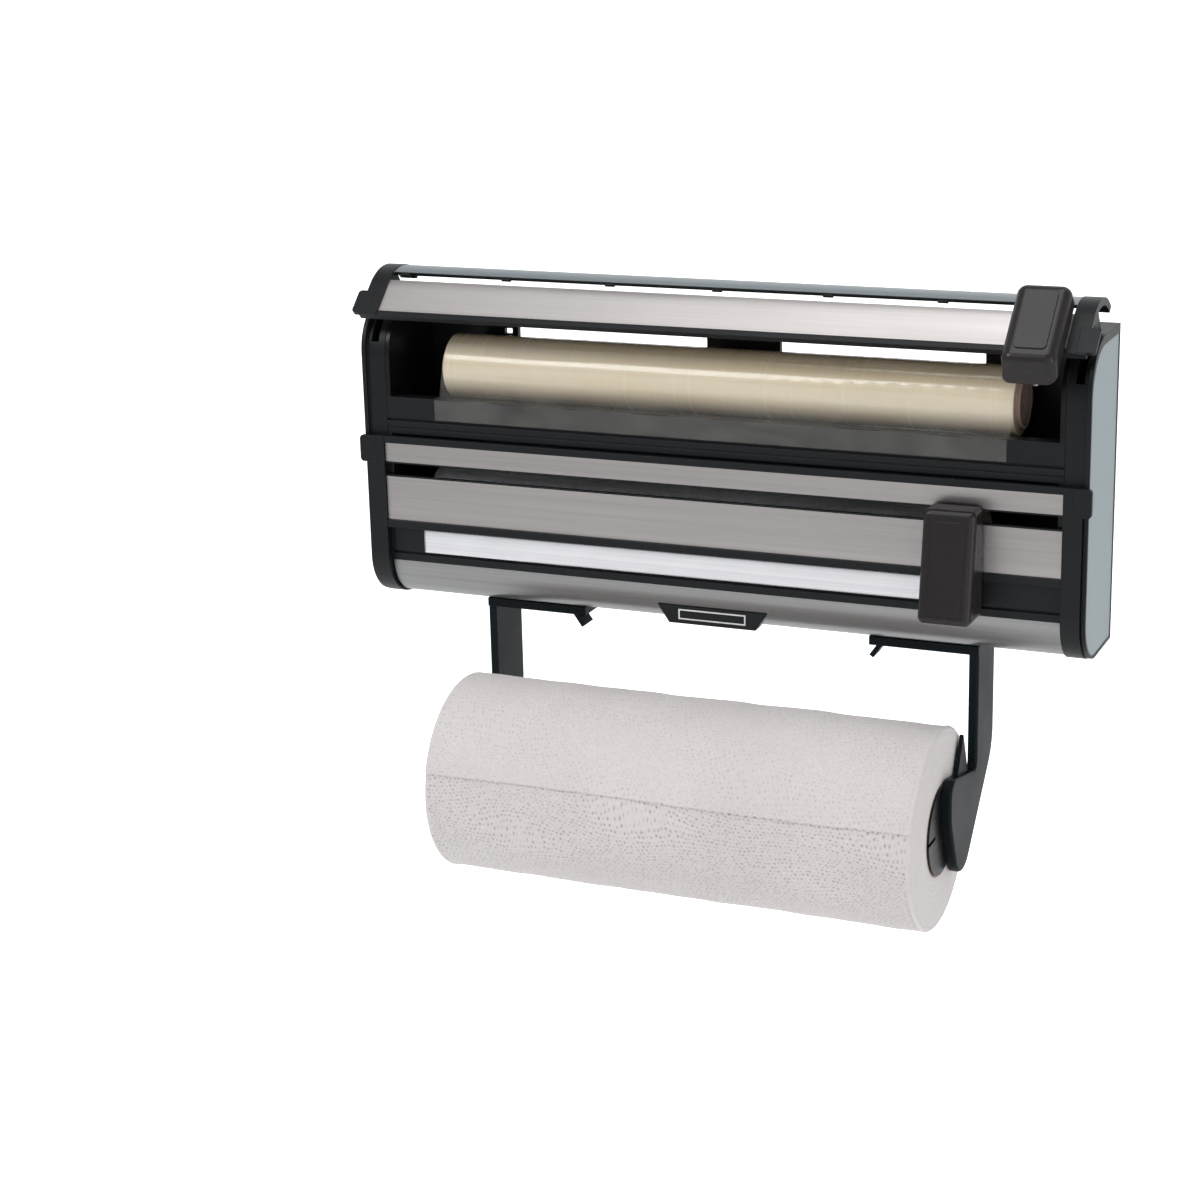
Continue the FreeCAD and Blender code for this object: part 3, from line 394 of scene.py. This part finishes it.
def tube_profile(x0, x1, bore, outer, corner, steps, corner_steps=5, end_steps=9,
                 end_ripple=0.0):
    """Closed profile of a tube with rounded outer rims and layered ends."""
    along = np.linspace(x0 + corner, x1 - corner, steps)
    turn = np.linspace(0, np.pi / 2, corner_steps + 1)
    climb = np.linspace(bore, outer - corner, end_steps)
    inward = end_ripple * rng.uniform(0, 1, end_steps)
    inward[[0, -1]] = 0.0
    shoulder = outer - corner
    points = [(x0 + d, r) for r, d in zip(climb[:-1], inward[:-1])]
    points += [(x0 + corner - corner * math.cos(t), shoulder + corner * math.sin(t))
               for t in turn[:-1]]
    points += [(x, outer) for x in along]
    points += [(x1 - corner + corner * math.sin(t), shoulder + corner * math.cos(t))
               for t in turn[1:]]
    points += [(x1 - d, r) for r, d in zip(climb[-2::-1], inward[-2::-1])]
    points += [(x, bore) for x in np.linspace(x1, x0, BORE_STEPS)[1:-1]]
    return points


def tube_size(node):
    """Axis point, both ends along X and outer radius of a round CAD node."""
    low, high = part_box(node)
    return (low + high) / 2, low.x, high.x, (high.z - low.z) / 2


# ---------------------------------------------------------------- kitchen paper
STEP = 0.54 * MM                    # mesh size of the paper's surface
RIM_ROUND = 2.2 * MM
END_LAYERS = 46
END_RIPPLE = 0.22 * MM
FREE_EDGE = math.radians(163.4)     # where the free edge of the paper lies
LAYER = 0.9 * MM                    # step at the free edge
EDGE_WANDER = 0.5 * MM
EDGE_WANDER_LENGTH = 31 * MM
TOOTH = 0.12 * MM                   # teeth left by the perforation
TOOTH_PITCH = 4.2 * MM
SLACK_TURN = 2.6                    # radians above the free edge that lie slack
SLACK_PRESS = 0.5                   # how much of the embossing is left there
SKIN = 0.05 * MM                    # points this near the full radius are on the surface
SKIN_DROP = 0.3 * MM                # keeps the puffed surface inside the CAD roll
PUFF = 0.22 * MM
ROW_PITCH = 1.95 * MM
DOT_PITCH = 2.25 * MM
DOT_DEPTH = 0.75 * MM
DOT_LENGTH = 0.78 * MM
DOT_WIDTH = 0.58 * MM
DOT_SHIFT_X, DOT_SHIFT_S = 0.45, 0.40    # random shift, in pitches
DOT_LEAST = 0.25                    # depth of the shallowest dash
DOT_REPEAT = (127, 101)             # rows and columns before the random pattern repeats
SWIRL = 4.5 * MM                    # how far the rows of dashes wander


def wrapped(angle):
    """Angle brought into -pi..pi."""
    return (angle + np.pi) % FULL_TURN - np.pi


def pressed_dots(x, s):
    """Irregular dashes pressed in wandering rows: 0 between them, up to 1 in the deepest."""
    wavy = s + SWIRL * row_swirl(x, s)
    row = np.floor(wavy / ROW_PITCH).astype(int)
    along = x / DOT_PITCH + 0.5 * (row % 2) + 0 * s
    column = np.floor(along).astype(int)
    rows, columns = DOT_REPEAT
    shift_x, shift_s, force = dot_random[:, row % rows, column % columns]
    from_x = (along - column - 0.5 - DOT_SHIFT_X * (shift_x - 0.5)) * DOT_PITCH
    from_s = (wavy / ROW_PITCH - row - 0.5 - DOT_SHIFT_S * (shift_s - 0.5)) * ROW_PITCH
    spread = (from_x / DOT_LENGTH) ** 2 + (from_s / DOT_WIDTH) ** 2
    return (DOT_LEAST + (1 - DOT_LEAST) * force) * np.exp(-spread)


def paper_relief(x, r, angle):
    """Spiral step at the free edge, dashes pressed in rows, and soft puffing between."""
    s = angle * paper_radius
    tooth = TOOTH * np.sign(np.sin(FULL_TURN * x / TOOTH_PITCH))
    wander = EDGE_WANDER * np.sin(x / EDGE_WANDER_LENGTH)
    edge = FREE_EDGE + (wander + tooth) / paper_radius
    around = (edge - angle) % FULL_TURN
    depth = np.clip((r - paper_bore) / (paper_radius - paper_bore), 0, 1)
    spiral = -LAYER * around / FULL_TURN
    slack = (wrapped(edge - angle) > 0) & (wrapped(edge - angle) < SLACK_TURN)
    press = np.where(slack, SLACK_PRESS, 1.0)
    skin = np.where(r > paper_radius - SKIN, 1.0, 0.0)
    emboss = PUFF * paper_puff(x, s) - DOT_DEPTH * pressed_dots(x, s) * press
    return depth * spiral + skin * (emboss - SKIN_DROP)


paper_axis, paper_x0, paper_x1, paper_radius = tube_size("paper_roll")
paper_bore = tube_size("paper_core")[3]
paper_puff = waves(9, 18 * MM, 60 * MM)
row_swirl = waves(5, 40 * MM, 75 * MM)
dot_random = rng.uniform(0, 1, (3, *DOT_REPEAT))
step = STEP
paper_angles = np.linspace(0, FULL_TURN, int(FULL_TURN * paper_radius / step), endpoint=False)
paper_profile = tube_profile(paper_x0, paper_x1, paper_bore, paper_radius, RIM_ROUND,
                             int((paper_x1 - paper_x0) / step),
                             end_steps=END_LAYERS, end_ripple=END_RIPPLE)
revolve("paper_roll_embossed", paper_profile, paper_angles, paper_axis, paper_relief,
        "tissue", "kitchen_roll", ("paper_roll",))


# ---------------------------------------------------------------- film and foil rolls
ROLL_SEGMENTS = 160
ROLL_STEPS = 260
ROLL_CORNER_STEPS = 3
SEAM_ANGLE = 2.2                    # radians, where the last layer ends
SEAM_WIDTH = 0.03


def wound_roll(name, node, core, slot, body, corner, wobble, pitch):
    """Roll whose skin shows the slightly uneven winding and the seam of the last layer."""
    axis, x0, x1, radius = tube_size(node)
    bore = tube_size(core)[3]
    broad = waves(7, 60 * MM, 160 * MM)
    tight = waves(9, 9 * MM, 26 * MM)

    def offset(x, r, angle):
        skin = np.clip((r - bore) / (radius - bore), 0, 1)
        s = angle * radius
        rings = np.cos(FULL_TURN * x / pitch)
        relief = 0.5 * broad(x * 0.25, s) + 0.3 * tight(x * 0.2, s) + 0.2 * rings
        seam = 0.25 * np.exp(-((angle - SEAM_ANGLE) / SEAM_WIDTH) ** 2)
        return skin * wobble * (np.clip(relief, -1, 1) - 1.0 + seam)

    angles = np.linspace(0, FULL_TURN, ROLL_SEGMENTS, endpoint=False)
    profile = tube_profile(x0, x1, bore, radius, corner, ROLL_STEPS, ROLL_CORNER_STEPS)
    return revolve(name, profile, angles, axis, offset, slot, body, (node,))


wound_roll("film_roll_wound", "film_spool", "film_core", "cling_film", "film_roll",
           corner=0.5 * MM, wobble=0.16 * MM, pitch=11 * MM)
wound_roll("foil_roll_wound", "foil_spool", "foil_core", "foil", "foil_roll",
           corner=0.3 * MM, wobble=0.10 * MM, pitch=7 * MM)


# ---------------------------------------------------------------- film and foil sheets
SHEET_THICKNESS = 0.10 * MM
SHEET_GAP = 0.09 * MM               # between the sheet and its rail
SHEET_CORNER = 0.9 * MM             # bend over the rail's front edge
SHEET_CLEARANCE = 0.1 * MM          # between the sheet and its roll, and above its end
BEND_INSET = 1.5 * MM               # the sheet meets the rail this far from its back edge
SHEET_COLUMNS = 200


def sheet_path(web, rail, spool):
    """(y, z) line of a sheet: off the roll, over the rail, down to the groove."""
    rail_low, rail_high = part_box(rail)
    axis, _, _, radius = tube_size(spool)
    front, top = rail_low.y - SHEET_GAP, rail_high.z + SHEET_GAP
    bend = rail_high.y - BEND_INSET
    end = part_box(web)[0].z + SHEET_CLEARANCE
    reach = radius + SHEET_GAP + SHEET_CLEARANCE
    away = math.hypot(bend - axis.y, top - axis.z)
    a = math.atan2(top - axis.z, bend - axis.y) - math.acos(reach / away)
    leave = (axis.y + reach * math.cos(a), axis.z + reach * math.sin(a))
    turn = np.linspace(np.pi / 2, np.pi, 6)
    corner = np.stack([front + SHEET_CORNER + SHEET_CORNER * np.cos(turn),
                       top - SHEET_CORNER + SHEET_CORNER * np.sin(turn)], 1)
    return np.concatenate([
        np.linspace(leave, (bend, top), 9)[:-1],
        np.linspace((bend, top), (front + SHEET_CORNER, top), 5)[:-1],
        corner,
        np.linspace((front, top - SHEET_CORNER), (front, end), 12)[1:],
    ])


def outward_normals(line):
    """Unit normals of a (y, z) line, on the side that faces up and to the front."""
    tangent = np.gradient(line, axis=0)
    tangent /= np.linalg.norm(tangent, axis=1)[:, None]
    normal = np.stack([tangent[:, 1], -tangent[:, 0]], 1)
    return normal * np.sign(normal @ np.array([-0.7, 0.7]))[:, None]


def sheet_over_rail(name, web, rail, spool, slot, ripple_height, ripple):
    """Free end of a roll: leaves the roll, lies over its rail and ends at the groove."""
    low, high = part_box(web)
    line = sheet_path(web, rail, spool)
    normal = outward_normals(line)
    xs = np.linspace(low.x, high.x, SHEET_COLUMNS)
    length = np.concatenate([[0], np.cumsum(np.linalg.norm(np.diff(line, axis=0), axis=1))])
    lift = 0.5 + 0.5 * np.clip(ripple(xs[None, :], length[:, None]), -1, 1)
    lift = lift * ripple_height
    layers = []
    for side in (0.0, SHEET_THICKNESS):
        out = lift + side
        layers.append(np.stack([
            np.broadcast_to(xs[None, :], out.shape),
            line[:, :1] + normal[:, :1] * out,
            line[:, 1:] + normal[:, 1:] * out,
        ], -1))
    ring = np.concatenate([layers[0], layers[1][::-1]], 0)
    rows, columns = ring.shape[:2]
    faces = [tuple(f) for f in grid_faces(rows, columns, True, False)]
    for i in range(rows // 2 - 1):    # close both side edges between the two layers
        a, b, c, d = i, i + 1, rows - 2 - i, rows - 1 - i
        faces.append(tuple(k * columns for k in (a, b, c, d)))
        faces.append(tuple(k * columns + columns - 1 for k in (d, c, b, a)))
    return make_piece(name, ring.reshape(-1, 3), faces, slot, "housing", (web,))


sheet_over_rail("film_sheet", "film_web", "upper_rail", "film_spool", "film_sheet",
                0.18 * MM, waves(8, 14 * MM, 50 * MM))
sheet_over_rail("foil_sheet", "foil_web", "lower_rail", "foil_spool", "foil",
                0.14 * MM, waves(10, 10 * MM, 40 * MM))


# ---------------------------------------------------------------- badge outline
OUTLINE_HALF = Vector((18.0 * MM, 0, 2.7 * MM))
OUTLINE_RISE = 0.4 * MM             # its middle above the middle of the badge
OUTLINE_LINE = 0.7 * MM
OUTLINE_LIFT = 0.25 * MM


def frame_ring(name, low, high, line, lift, slot, body):
    """Thin raised rectangular outline on a front face."""
    verts = []
    for inset, out in ((0, 0), (0, lift), (line, lift), (line, 0)):
        x0, x1, z0, z1 = low.x + inset, high.x - inset, low.z + inset, high.z - inset
        verts += [(x, low.y - out, z) for x, z in ((x0, z0), (x1, z0), (x1, z1), (x0, z1))]
    return make_piece(name, verts, grid_faces(4, 4, True, True), slot, body)


badge_low, badge_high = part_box("badge_plate")
badge_mid = (badge_low + badge_high) / 2
outline_mid = Vector((badge_mid.x, badge_low.y, badge_mid.z + OUTLINE_RISE))
frame_ring("badge_outline", outline_mid - OUTLINE_HALF, outline_mid + OUTLINE_HALF,
           OUTLINE_LINE, OUTLINE_LIFT, "white_print", "housing")


# ---------------------------------------------------------------- stage and light
FLOOR_Z = -0.55
FLOOR_FRONT = -3.0
BACKDROP_Y = 1.6
BACKDROP_TOP = 3.5
SWEEP_RADIUS = 0.8
SWEEP_HALF_WIDTH = 5.0
FLOOR_GLOW = 0.15                   # emission that lights the object
FLOOR_GLOW_SEEN = 0.85              # emission that the camera sees
SKY_STRENGTH = 0.35
SKY_STRENGTH_SEEN = 1.15
LIGHTS = (                          # name, place (m), size (m), power (W)
    ("key", (-1.1, -1.5, 1.5), (1.2, 0.9), 21),
    ("fill", (1.6, -1.6, 0.5), (0.8, 1.2), 4),
    ("top", (0.1, -0.2, 1.7), (1.6, 0.7), 11),
    ("side", (2.0, -0.75, 0.15), (0.16, 1.4), 7),
    ("front", (0.5, -2.2, 0.25), (1.0, 0.8), 2),
)


def make_sweep():
    """Seamless pale floor that curves up into a backdrop."""
    turn = np.linspace(0, np.pi / 2, 13)
    bend_y, bend_z = BACKDROP_Y - SWEEP_RADIUS, FLOOR_Z + SWEEP_RADIUS
    line = [(FLOOR_FRONT, FLOOR_Z)]
    line += [(bend_y + SWEEP_RADIUS * math.sin(t), bend_z - SWEEP_RADIUS * math.cos(t))
             for t in turn]
    line += [(BACKDROP_Y, BACKDROP_TOP)]
    verts = [(x, y, z) for y, z in line for x in (-SWEEP_HALF_WIDTH, SWEEP_HALF_WIDTH)]
    faces = [(2 * i, 2 * i + 1, 2 * i + 3, 2 * i + 2) for i in range(len(line) - 1)]
    mesh = bpy.data.meshes.new("sweep")
    mesh.from_pydata(verts, [], faces)
    mesh.polygons.foreach_set("use_smooth", [True] * len(mesh.polygons))
    sweep = bpy.data.objects.new("sweep", mesh)
    bpy.context.scene.collection.objects.link(sweep)
    s = Shader("studio_paper", (0.92, 0.92, 0.92), 0.9)
    s.put("Base Color", s.mix(s.noise(2), (0.91, 0.91, 0.91), (0.93, 0.93, 0.93)))
    seen = s.node("LightPath").outputs["Is Camera Ray"]
    s.put("Emission Color", (1.0, 1.0, 1.0, 1.0))
    s.put("Emission Strength", s.span(seen, FLOOR_GLOW, FLOOR_GLOW_SEEN, 0.0, 1.0))
    mesh.materials.append(s.mat)


def add_light(name, place, aim, size, power):
    """White rectangular light turned towards a point."""
    data = bpy.data.lights.new(name, "AREA")
    data.shape = "RECTANGLE"
    data.size, data.size_y = size
    data.energy = power
    light = bpy.data.objects.new(name, data)
    light.location = place
    light.rotation_euler = (aim - Vector(place)).to_track_quat("-Z", "Y").to_euler()
    bpy.context.scene.collection.objects.link(light)


def make_world():
    """Soft cool ambient light that looks plain white to the camera."""
    world = bpy.data.worlds.new("studio")
    world.use_nodes = True
    tree = world.node_tree
    background = tree.nodes["Background"]
    background.inputs["Color"].default_value = (0.9, 0.93, 0.96, 1)
    seen = tree.nodes.new("ShaderNodeLightPath").outputs["Is Camera Ray"]
    strength = tree.nodes.new("ShaderNodeMapRange")
    strength.inputs["To Min"].default_value = SKY_STRENGTH
    strength.inputs["To Max"].default_value = SKY_STRENGTH_SEEN
    tree.links.new(seen, strength.inputs["Value"])
    tree.links.new(strength.outputs["Result"], background.inputs["Strength"])
    bpy.context.scene.world = world


make_sweep()
centre = (cad_bounds[0] + cad_bounds[1]) / 2
for light_name, light_place, light_size, light_power in LIGHTS:
    add_light(light_name, light_place, centre, light_size, light_power)
make_world()
bpy.context.scene.view_settings.view_transform = "Standard"


# ---------------------------------------------------------------- camera
# Fitted to the straight edges of the housing in the photograph.
CAMERA_PLACE = (0.4503, -1.2171, 0.2631)
CAMERA_AZIMUTH = math.radians(23.70)
CAMERA_ELEVATION = math.radians(16.63)
CAMERA_ROLL = math.radians(-1.448)
CAMERA_LENS = 77.92
CAMERA_SENSOR = 36.0


def make_camera():
    """Camera from its place, heading, height angle and roll."""
    a, e = CAMERA_AZIMUTH, CAMERA_ELEVATION
    right = Vector((math.cos(a), math.sin(a), 0))
    back = Vector((math.sin(a) * math.cos(e), -math.cos(a) * math.cos(e), math.sin(e)))
    up = back.cross(right)
    across = right * math.cos(CAMERA_ROLL) + up * math.sin(CAMERA_ROLL)
    upward = up * math.cos(CAMERA_ROLL) - right * math.sin(CAMERA_ROLL)
    data = bpy.data.cameras.new("camera")
    data.lens = CAMERA_LENS
    data.sensor_width = CAMERA_SENSOR
    camera = bpy.data.objects.new("camera", data)
    turn = Matrix((across, upward, back)).transposed().to_4x4()
    camera.matrix_world = Matrix.Translation(CAMERA_PLACE) @ turn
    bpy.context.scene.collection.objects.link(camera)
    bpy.context.scene.camera = camera


make_camera()
